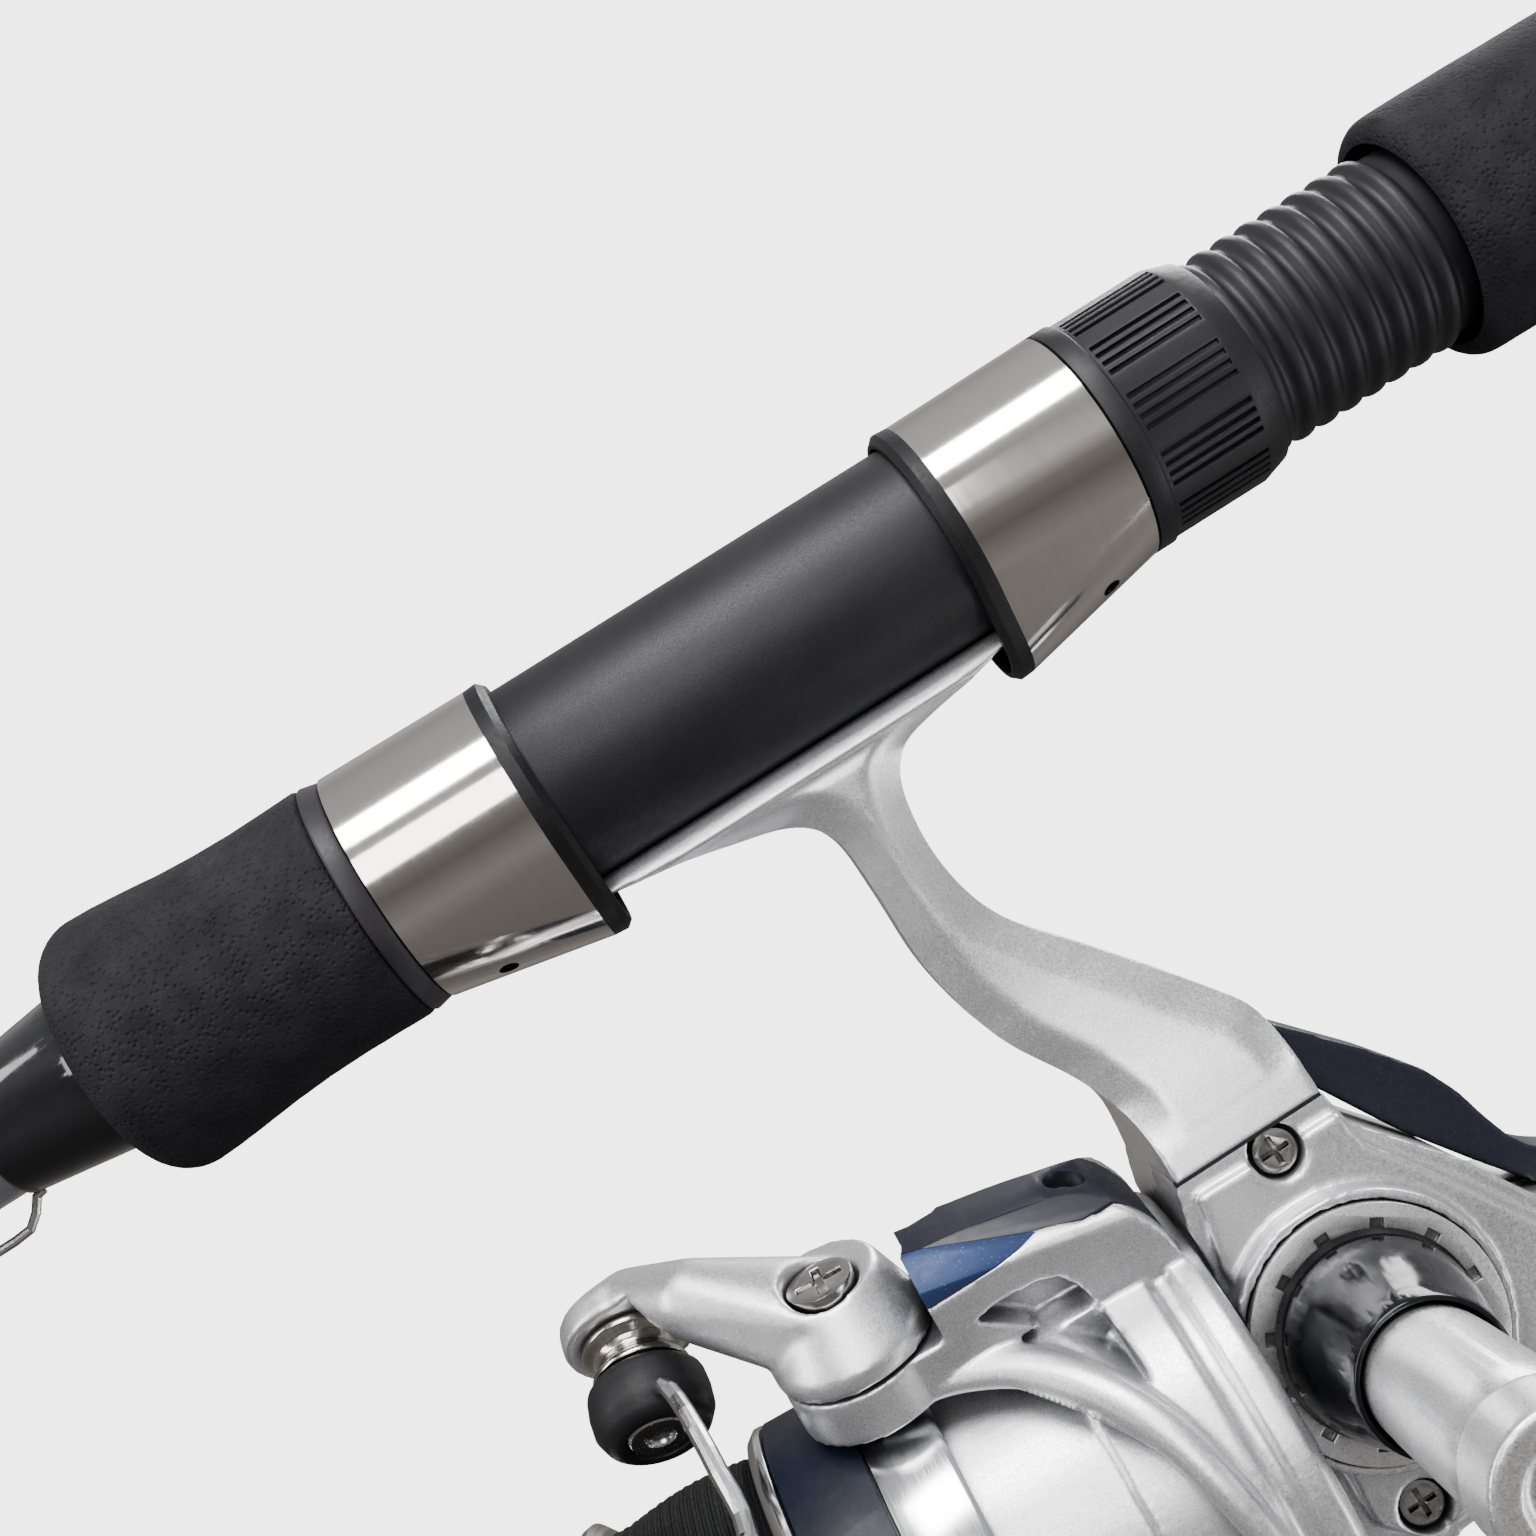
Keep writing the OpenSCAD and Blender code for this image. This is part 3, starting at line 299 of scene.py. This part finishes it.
FINISH = {
    "eva_foam": foam(),
    "black_lacquer": gloss("black_lacquer", (0.006, 0.006, 0.008), 0.10, coat=0.5),
    "keeper_wire": plain_metal("drawn_wire", (0.66, 0.66, 0.68), 0.16, 8.0),
    "thread_wrap": wrapped_thread(),
    "grey_blank": gloss("grey_blank", (0.13, 0.13, 0.145), 0.14, (0.17, 0.17, 0.19)),
    "black_blank": turned_metal("black_blank", (0.035, 0.035, 0.040), 0.30, 2.0),
    "trim_plastic": moulded("trim_plastic", (0.040, 0.037, 0.044), 0.42),
    "hood_steel": turned_metal("hood_steel", (0.72, 0.69, 0.655), 0.10, 3.0, height=0.0006, streak=0.02,
                               spread=0.02),
    "liner_rubber": moulded("liner_rubber", (0.011, 0.011, 0.013), 0.48, 2.0, 0.05),
    "seat_plastic": moulded("seat_plastic", (0.020, 0.019, 0.024), 0.46, 4.5, 0.03, 0.04),
    "guide_steel": plain_metal("guide_steel", (0.36, 0.36, 0.38), 0.28),
    "guide_ceramic": gloss("guide_ceramic", (0.045, 0.07, 0.11), 0.08),
    "silver_paint": silver_paint(),
    "navy_paint": speckled("navy_paint", (0.006, 0.007, 0.014), (0.04, 0.05, 0.09)),
    "blue_paint": speckled("blue_paint", (0.020, 0.038, 0.105), (0.16, 0.26, 0.50), 0.5, 0.3, 0.05),
    "screw_steel": plain_metal("screw_steel", (0.50, 0.49, 0.48), 0.20),
    "bearing_steel": plain_metal("bearing_steel", (0.50, 0.50, 0.52), 0.2),
    "clutch_plastic": gloss("clutch_plastic", (0.025, 0.10, 0.24), 0.25, (0.05, 0.18, 0.38)),
    "gear_alloy": plain_metal("gear_alloy", (0.48, 0.45, 0.40), 0.35),
    "pinion_brass": plain_metal("pinion_brass", (0.62, 0.45, 0.20), 0.28),
    "cup_plastic": gloss("cup_plastic", (0.003, 0.003, 0.004), 0.12, coat=0.0, spec=0.28),
    "crank_alloy": silver_paint("crank_alloy", (0.72, 0.72, 0.73), 0.30),
    "knob_rubber": moulded("knob_rubber", (0.022, 0.022, 0.026), 0.62, 2.0, 0.08),
    "white_nylon": moulded("white_nylon", (0.62, 0.60, 0.54), 0.45),
    "roller_steel": turned_metal("roller_steel", (0.50, 0.47, 0.43), 0.16, 5.0),
    "cap_rubber": moulded("cap_rubber", (0.014, 0.014, 0.016), 0.5, 2.5, 0.05),
    "spool_alloy": turned_metal("spool_alloy", (0.74, 0.74, 0.765), 0.17, 9.0, TILT),
    "label_film": gloss("label_film", (0.0035, 0.005, 0.011), 0.42, (0.0065, 0.009, 0.020), coat=0.03,
                        spec=0.18),
    "braided_line": wound_line(),
    "drag_felt": moulded("drag_felt", (0.25, 0.235, 0.21), 0.9, 3.0, 0.1),
}


# ---- pieces --------------------------------------------------------------------------------------------

def place(obj, node, *more):
    """Puts a piece on the body of a node and in that node's stead."""
    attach(obj, BODY[node])
    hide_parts(node, *more)
    obj.data.materials.clear()
    obj.data.materials.append(FINISH[SLOT[node]])
    return obj


def edge_shade(me, degrees=32):
    """Smooth faces with crisp edges where they turn sharply."""
    bm = bmesh.new()
    bm.from_mesh(me)
    bmesh.ops.remove_doubles(bm, verts=bm.verts, dist=WELD)
    limit = math.radians(degrees)
    for f in bm.faces:
        f.smooth = True
    for e in bm.edges:
        e.smooth = len(e.link_faces) == 2 and e.calc_face_angle(4.0) < limit
    bm.to_mesh(me)
    bm.free()


def source_mesh(node):
    """A free copy of a node's mesh in the row frame."""
    src = frame["nodes"][node]
    me = src.data.copy()
    me.transform(src.matrix_world)
    return me


def new_object(name, me):
    o = bpy.data.objects.new(name, me)
    bpy.context.collection.objects.link(o)
    return o


def applied(o):
    """Turns the object's modifiers into mesh."""
    deps = bpy.context.evaluated_depsgraph_get()
    me = bpy.data.meshes.new_from_object(o.evaluated_get(deps))
    o.modifiers.clear()
    old = o.data
    o.data = me
    bpy.data.meshes.remove(old)
    return o


def crisp(node, bevel=0.18, degrees=32):
    """A machined piece: the node's form with its edges broken by a small bevel."""
    me = source_mesh(node)
    bm = bmesh.new()
    bm.from_mesh(me)
    bmesh.ops.remove_doubles(bm, verts=bm.verts, dist=WELD)
    bmesh.ops.dissolve_limit(bm, angle_limit=math.radians(0.6), verts=bm.verts, edges=bm.edges)
    bm.to_mesh(me)
    bm.free()
    o = new_object(node + "_fine", me)
    if bevel:
        b = o.modifiers.new("edge", "BEVEL")
        b.width = bevel * MM
        b.segments = 2
        b.limit_method = "ANGLE"
        b.angle_limit = math.radians(degrees)
        b.use_clamp_overlap = True
        applied(o)
    edge_shade(o.data, 40)
    return place(o, node)


def cast(node, voxel=0.45, rounds=5):
    """A cast or painted piece: the node's form with soft edges and blended corners."""
    me = source_mesh(node)
    if node in RIBS:
        bm = bmesh.new()
        bm.from_mesh(me)
        for path, wide, high in RIBS[node]:
            add_rib(bm, path, wide, high)
        bm.to_mesh(me)
        bm.free()
    o = new_object(node + "_cast", me)
    r = o.modifiers.new("skin", "REMESH")
    r.mode = "VOXEL"
    r.voxel_size = voxel * MM
    r.adaptivity = 0.0
    s = o.modifiers.new("soften", "SMOOTH")
    s.factor = 0.5
    s.iterations = rounds
    applied(o)
    if node == "reel_frame":
        shoulder_stem(o)
    if node in SOFT:
        weight, more = SOFT[node]
        g = o.vertex_groups.new(name="soft")
        for v in o.data.vertices:
            w = weight(v.co / MM)
            if w > 0:
                g.add([v.index], min(1.0, w), "REPLACE")
        s = o.modifiers.new("pillow", "SMOOTH")
        s.factor = 0.5
        s.iterations = more
        s.vertex_group = "soft"
        applied(o)
        o.vertex_groups.clear()
    for p in o.data.polygons:
        p.use_smooth = True
    return place(o, node)


def add_rib(bm, path, wide, high, steps=14):
    """A rib of elliptic section along [point, outward] pairs in millimetres; wide and high are half sizes."""
    rings = []
    for i, (p, outward) in enumerate(path):
        along = (path[min(i + 1, len(path) - 1)][0] - path[max(i - 1, 0)][0]).normalized()
        side = along.cross(outward).normalized()
        t = i / (len(path) - 1)
        k = 0.55 + 0.5 * t
        turns = (2 * math.pi * j / steps for j in range(steps))
        rings.append([bm.verts.new((p + side * (wide * k * math.cos(a))
                                    + outward * (high * math.sin(a))) * MM) for a in turns])
    faces = []
    for a, b in zip(rings, rings[1:]):
        for j in range(steps):
            faces.append(bm.faces.new([a[j], a[(j + 1) % steps], b[(j + 1) % steps], b[j]]))
    faces.append(bm.faces.new(rings[0]))
    faces.append(bm.faces.new(rings[-1]))
    bmesh.ops.recalc_face_normals(bm, faces=faces)


def lathe(name, profile, segments=128, close=True):
    """A turned piece on the X axis from [x, r] in millimetres, with its own vertex rings."""
    me = bpy.data.meshes.new(name)
    bm = bmesh.new()
    rings = []
    for x, r in profile:
        if r < 1e-6:
            rings.append([bm.verts.new((x * MM, 0, 0))])
        else:
            rings.append([bm.verts.new((x * MM, r * MM * math.cos(a), r * MM * math.sin(a)))
                          for a in (2 * math.pi * i / segments for i in range(segments))])
    pairs = list(zip(rings, rings[1:]))
    if close:
        pairs.append((rings[-1], rings[0]))
    for a, b in pairs:
        for i in range(segments):
            j = (i + 1) % segments
            quad = [a[i % len(a)], a[j % len(a)], b[j % len(b)], b[i % len(b)]]
            face = list(dict.fromkeys(quad))
            if len(face) > 2:
                bm.faces.new(face)
    bmesh.ops.recalc_face_normals(bm, faces=bm.faces)
    bm.to_mesh(me)
    bm.free()
    edge_shade(me, 35)
    return new_object(name, me)


def foam_lathe(name, node, outline, bore, depth=0.05):
    """A foam sleeve: rounded lips, slight hand-worn unevenness, fine rings of vertices along its length."""
    pts = []
    for (x0, r0), (x1, r1) in zip(outline, outline[1:]):
        n = max(1, int(math.hypot(x1 - x0, r1 - r0) / 1.0))
        pts += [(x0 + (x1 - x0) * i / n, r0 + (r1 - r0) * i / n) for i in range(n)]
    pts.append(outline[-1])
    profile = [(outline[0][0], bore)] + pts + [(outline[-1][0], bore)]
    o = lathe(name, profile, 144)
    for v in o.data.vertices:
        p = v.co
        r = math.hypot(p.y, p.z)
        if r > bore * MM * 1.05:
            k = depth * MM * (noise.noise(p * 160) - 0.6) + 0.02 * MM * (noise.noise(p * 900) - 0.5)
            p.y += p.y / r * k
            p.z += p.z / r * k
    edge_shade(o.data, 50)
    return place(o, node)


def smooth_curve(points, k):
    """Catmull-Rom through the points, k steps a span."""
    out = []
    m = len(points) - 1
    for i in range(m):
        a, b, c, d = (Vector(points[max(i - 1, 0)]), Vector(points[i]), Vector(points[i + 1]),
                      Vector(points[min(i + 2, m)]))
        for j in range(k):
            t = j / k
            out.append(0.5 * (2 * b + (c - a) * t + (2 * a - 5 * b + 4 * c - d) * t * t
                              + (3 * b - a - 3 * c + d) * t ** 3))
    out.append(Vector(points[-1]))
    return out


def arc(cx, cr, r, a0, a1, n=7):
    """Points [x, r] round a centre, from angle a0 to a1 in degrees from straight outward."""
    return [(cx + r * math.sin(math.radians(a0 + (a1 - a0) * i / n)),
             cr + r * math.cos(math.radians(a0 + (a1 - a0) * i / n))) for i in range(n + 1)]


# Grips: turned foam with rolled lips.
fore = [(34.0, 12.0)] + arc(34.8, 12.1, 0.7, -90, 0, 4)
fore += [(38, 12.72), (42, 12.66), (46, 12.75), (50, 13.0), (54, 13.4), (57, 13.68)]
fore += arc(59.4, 8.85, 4.95, 0, 90, 10)
foam_lathe("fore_grip_foam", "fore_grip", fore, 6.5)
lo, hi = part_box("rear_grip")
x_end, x_front = lo[0] * 1000, hi[0] * 1000
rear = [(x_end, 12.6), (x_end + 0.6, 12.95), (x_end + 4, 12.98), (-150, 12.98), (-128, 12.98)]
rear += [(-118, 13.08), (-108, 13.28), (-100, 13.44), (-94, 13.5), (-91.2, 13.48)]
rear += arc(x_front - 1.9, 11.6, 1.85, 0, 80, 7)
rear += [(x_front, 11.45)]
foam_lathe("rear_grip_foam", "rear_grip", rear, 11.38)


def reel_turn(angle=0.0):
    """From the reel's axis, turned by an angle in degrees, to the row frame, in millimetres."""
    return (Matrix.Translation(REEL_AT) @ Matrix.Rotation(-TILT, 4, "Y")
            @ Matrix.Rotation(math.radians(angle), 4, "X"))


# Where an arch runs: distance along the axis in millimetres, and how far round from the arm in degrees.
ARCH = ((18.3, 80), (19.0, 70), (20.2, 58), (22.0, 45), (25.2, 32), (30.0, 19.5), (35.8, 11.5), (41.5, 8.0),
        (45.0, 6.0))


def arch(side, hand, r=26.3):
    """One arch, from the rotor's flank up to the arm's hub."""
    m = reel_turn(-15 - 180 * side)
    turn = m.to_3x3()
    keys = [(u, r * math.sin(math.radians(a)) * hand, r * math.cos(math.radians(a))) for u, a in ARCH]
    out = []
    for q in smooth_curve(keys, 6):
        radial = Vector((0, q.y, q.z)).normalized()
        out.append((m @ q, turn @ radial))
    return out


# The rotor's arms run out into two arches that sweep back round its body.
RIBS = {"rotor": [(arch(side, hand), 2.7, 1.6) for side in (0, 1) for hand in (-1, 1)]}

# Half width of the stem against height, from the foot down to the case.
STEM_HALF = ((-11, 5.2), (-34, 5.2), (-42, 5.9), (-50, 7.6), (-57, 9.8), (-63.6, 11.6))


def stem_half(z):
    for (z0, h0), (z1, h1) in zip(STEM_HALF, STEM_HALF[1:]):
        if z >= z1:
            return h0 + (h1 - h0) * max(0.0, (z - z0) / (z1 - z0))
    return STEM_HALF[-1][1]


def shoulder_stem(o, wide=3.4, fall=0.62):
    """Falls the stem's two faces away towards its outline, so that a raised face runs down its middle."""
    verts = o.data.vertices
    facing = [abs(v.normal.y) for v in verts]
    walls = [v.index for v in verts if facing[v.index] < 0.4 and v.co.z > -0.068]
    tree = kdtree.KDTree(len(walls))
    for i in walls:
        tree.insert(Vector((verts[i].co.x, 0, verts[i].co.z)), i)
    tree.balance()
    for v in verts:
        q = v.co / MM
        w = min(1.0, (q.z + 60.5) / 5.0, (-12.6 - q.z) / 2.5)
        if w <= 0:
            continue
        d = tree.find(Vector((v.co.x, 0, v.co.z)))[2] / MM if facing[v.index] >= 0.4 else 0.0
        if d < wide:
            limit = stem_half(q.z) - fall * (wide - d) * w
            v.co.y = math.copysign(min(abs(q.y), limit), q.y) * MM


def stem_weight(q):
    """1 along the stem, fading out over its foot and where it meets the case."""
    return min(1.0, (q.z + 59.0) / 6.0, (-13.5 - q.z) / 3.0)


def even_weight(_point):
    """The same everywhere."""
    return 1.0


SOFT = {"reel_frame": (stem_weight, 8), "bail_arm": (even_weight, 16)}

# Cast and moulded pieces: voxel size in millimetres, and rounds of smoothing.
CAST = {"reel_frame": (0.5, 4), "side_cover": (0.4, 2), "body_guard": (0.4, 5), "rotor": (0.32, 6),
        "bail_arm": (0.3, 7), "bail_cam": (0.35, 5), "crank_arm": (0.4, 6), "anti_reverse_lever": (0.35, 3),
        "knob": (0.5, 5)}
for node, (voxel, rounds) in CAST.items():
    cast(node, voxel, rounds)

# Machined and turned pieces: width of the rounded edge in millimetres.
SHARP = {"winding_check": 0.15, "grip_collar": 0.2, "seat_tube": 0.25, "hood_nut": 0.12, "butt_cap": 0.5,
         "front_hood": 0.0, "rear_hood": 0.0, "front_hood_liner": 0.0, "rear_hood_liner": 0.0,
         "hub_ring": 0.2, "dust_cap": 0.3, "cover_screws": 0.15, "handle_cup": 0.25, "crank_shank": 0.3,
         "knob_cap": 0.25, "knob_spindle": 0.2, "pivot_screws": 0.15, "line_roller": 0.15, "roller_cap": 0.4,
         "spool": 0.2, "spool_label": 0.08, "drag_knob": 0.25, "butt_guide_ring": 0.15, "arm_insets": 0.08,
         "arm_covers": 0.12}
for node, bevel in SHARP.items():
    crisp(node, bevel)


def line_profile():
    """Rows of turns side by side, with a slight barrel to the pack, about the reel's own axis as X."""
    lo_u, hi_u, base = 58.35, 74.9, 14.0
    rows, edge_r, barrel, uneven, turn_r = 44, 21.55, 0.7, 0.06, 0.15
    step = (hi_u - lo_u) / rows
    pts = [(lo_u, base)]
    for i in range(rows):
        mid = (i + 0.5) / rows
        r = edge_r + barrel * math.sin(math.pi * min(1, mid * 1.15)) + uneven * math.sin(i * 2.3)
        for k in range(5):
            a = math.pi * (k + 0.5) / 5
            pts.append((lo_u + step * (i + 0.5 - 0.5 * math.cos(a)), r + turn_r * math.sin(a)))
    return pts + [(hi_u, base)]


pack = lathe("wound_line_pack", line_profile(), 120)
in_reel = Matrix.Translation((-0.025, 0, -0.0927)) @ Matrix.Rotation(-TILT, 4, "Y")
pack.data.transform(in_reel)
place(pack, "line_pack")

# The screw that closes the line roller, in the end of its cap.
SCREW_HALF = [(10.42, 0), (10.42, 3.3), (10.95, 3.3), (11.2, 2.95), (11.2, 1.65), (10.95, 1.4), (10.55, 1.3),
              (10.55, 0)]
screw = lathe("roller_screw", SCREW_HALF, 48, close=False)
ROLLER_AT = Vector((63.3, -4, 37.5)) * MM
ROLLER_AXIS = Vector((0.089, 0.712, -0.696)).normalized()
screw.data.transform(in_reel @ Matrix.Translation(ROLLER_AT)
                     @ ROLLER_AXIS.to_track_quat("X", "Z").to_matrix().to_4x4())
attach(screw, "bail")
screw.data.materials.append(FINISH["screw_steel"])


def box(name, lo, hi):
    """A plain box between two corners in millimetres."""
    me = bpy.data.meshes.new(name)
    bm = bmesh.new()
    bmesh.ops.create_cube(bm, size=1.0)
    for v in bm.verts:
        v.co = Vector([(a + b) / 2 + (b - a) * c for a, b, c in zip(lo, hi, v.co)]) * MM
    bm.to_mesh(me)
    bm.free()
    return new_object(name, me)


# A dark strip along the parting line between the stem and the gear case: painted shade for the shadowed gap
# there.
seam_shade = box("parting_line_shade", (-33.4, 10.6, -63.75), (-17.1, 11.63, -63.4))
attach(seam_shade, "rod_and_reel_case")
seam_shade.data.materials.append(FINISH["cap_rubber"])

# A pale floor below the reach of the crank. It takes the object's shadow and throws no light back on it.
FLOOR_TOP = -240
floor = box("floor", (-450, -190, FLOOR_TOP - 1), (450, 300, FLOOR_TOP))
paper = Mat("floor_paper", (0.8, 0.8, 0.8), 0.9)
paper.set("Emission Color", (0.93, 0.93, 0.93, 1)).set("Emission Strength", 3.5)
floor.data.materials.append(paper.mat)
floor.visible_diffuse = False
floor.visible_glossy = False
floor.visible_shadow = False

# Everything else keeps its CAD form and gets its finish.
for name, obj in frame["nodes"].items():
    if obj.hide_render:
        continue
    obj.data.materials.clear()
    obj.data.materials.append(FINISH[SLOT[name]])

# ---- camera, light and surroundings ----------------------------------------------------------------------

# Where the camera stands in metres, where it looks, and which way is down in its picture.
eye = Vector((0.0023, 0.2140, -0.0063))
fwd = Vector((-0.0390, -0.9991, -0.0171)).normalized()
down = Vector((0.5327, -0.0063, -0.8463))
up = -(down - fwd * down.dot(fwd)).normalized()
right = fwd.cross(up).normalized()
cam_data = bpy.data.cameras.new("camera")
cam = bpy.data.objects.new("camera", cam_data)
bpy.context.collection.objects.link(cam)
cam_data.sensor_width = 36.0
cam_data.lens = 50.8
cam_data.clip_start = 0.01
cam_data.dof.use_dof = False
rot = Matrix((right, up, -fwd)).transposed()
cam.matrix_world = Matrix.Translation(eye) @ rot.to_4x4()
bpy.context.scene.camera = cam


def lamp(name, at, size, watts, target=(0, 0, -0.05), colour=(1, 1, 1)):
    """A soft box placed in the camera's own right, up and back directions."""
    data = bpy.data.lights.new(name, "AREA")
    data.shape = "RECTANGLE"
    data.size, data.size_y = size
    data.energy = watts
    data.color = colour
    o = bpy.data.objects.new(name, data)
    bpy.context.collection.objects.link(o)
    pos = Vector(target) + right * at[0] + up * at[1] - fwd * at[2]
    o.location = pos
    o.rotation_mode = "QUATERNION"
    o.rotation_quaternion = (Vector(target) - pos).to_track_quat("-Z", "Y")
    return o


lamp("key", (-0.35, 0.75, 0.45), (0.55, 0.35), 15.0)
lamp("top_back", (0.25, 0.7, -0.55), (0.7, 0.3), 11.0)
lamp("front", (-0.25, 0.3, 0.85), (0.5, 0.4), 5.0)
lamp("left", (-0.85, 0.05, 0.25), (0.25, 0.7), 5.5)
lamp("right", (0.85, -0.2, 0.35), (0.2, 0.8), 4.0)

# The studio: a pale backdrop as seen directly, and a dimmer room of soft bands as lit and mirrored.
BACKDROP = (0.93, 0.93, 0.93)
BACKDROP_STRENGTH = 4.6
ROOM_STRENGTH = 0.62
ROOM_BANDS = ((0.22, (0.44, 0.42, 0.40)), (0.40, (0.24, 0.22, 0.205)), (0.52, (0.36, 0.34, 0.32)),
              (0.64, (0.95, 0.94, 0.93)), (0.8, (0.62, 0.62, 0.62)))
world = bpy.data.worlds.new("studio")
bpy.context.scene.world = world
world.use_nodes = True
wt = world.node_tree
wt.nodes.clear()
out = wt.nodes.new("ShaderNodeOutputWorld")
seen = wt.nodes.new("ShaderNodeBackground")
seen.inputs["Color"].default_value = (*BACKDROP, 1)
seen.inputs["Strength"].default_value = BACKDROP_STRENGTH
lit = wt.nodes.new("ShaderNodeBackground")
lit.inputs["Strength"].default_value = ROOM_STRENGTH
path = wt.nodes.new("ShaderNodeLightPath")
mix = wt.nodes.new("ShaderNodeMixShader")
coord = wt.nodes.new("ShaderNodeTexCoord")
dot = wt.nodes.new("ShaderNodeVectorMath")
dot.operation = "DOT_PRODUCT"
dot.inputs[1].default_value = tuple(up)
wt.links.new(coord.outputs["Generated"], dot.inputs[0])
ramp = wt.nodes.new("ShaderNodeValToRGB")
shift = wt.nodes.new("ShaderNodeMapRange")
shift.inputs["From Min"].default_value = -1
shift.inputs["From Max"].default_value = 1
wt.links.new(dot.outputs["Value"], shift.inputs["Value"])
wt.links.new(shift.outputs["Result"], ramp.inputs["Fac"])
e = ramp.color_ramp.elements
e[0].position, e[0].color = 0.0, (0.16, 0.15, 0.14, 1)
e[1].position, e[1].color = 1.0, (1.0, 1.0, 1.0, 1)
for pos, c in ROOM_BANDS:
    el = e.new(pos)
    el.color = (*c, 1)
wt.links.new(ramp.outputs["Color"], lit.inputs["Color"])
wt.links.new(path.outputs["Is Camera Ray"], mix.inputs["Fac"])
wt.links.new(lit.outputs[0], mix.inputs[1])
wt.links.new(seen.outputs[0], mix.inputs[2])
wt.links.new(mix.outputs[0], out.inputs["Surface"])
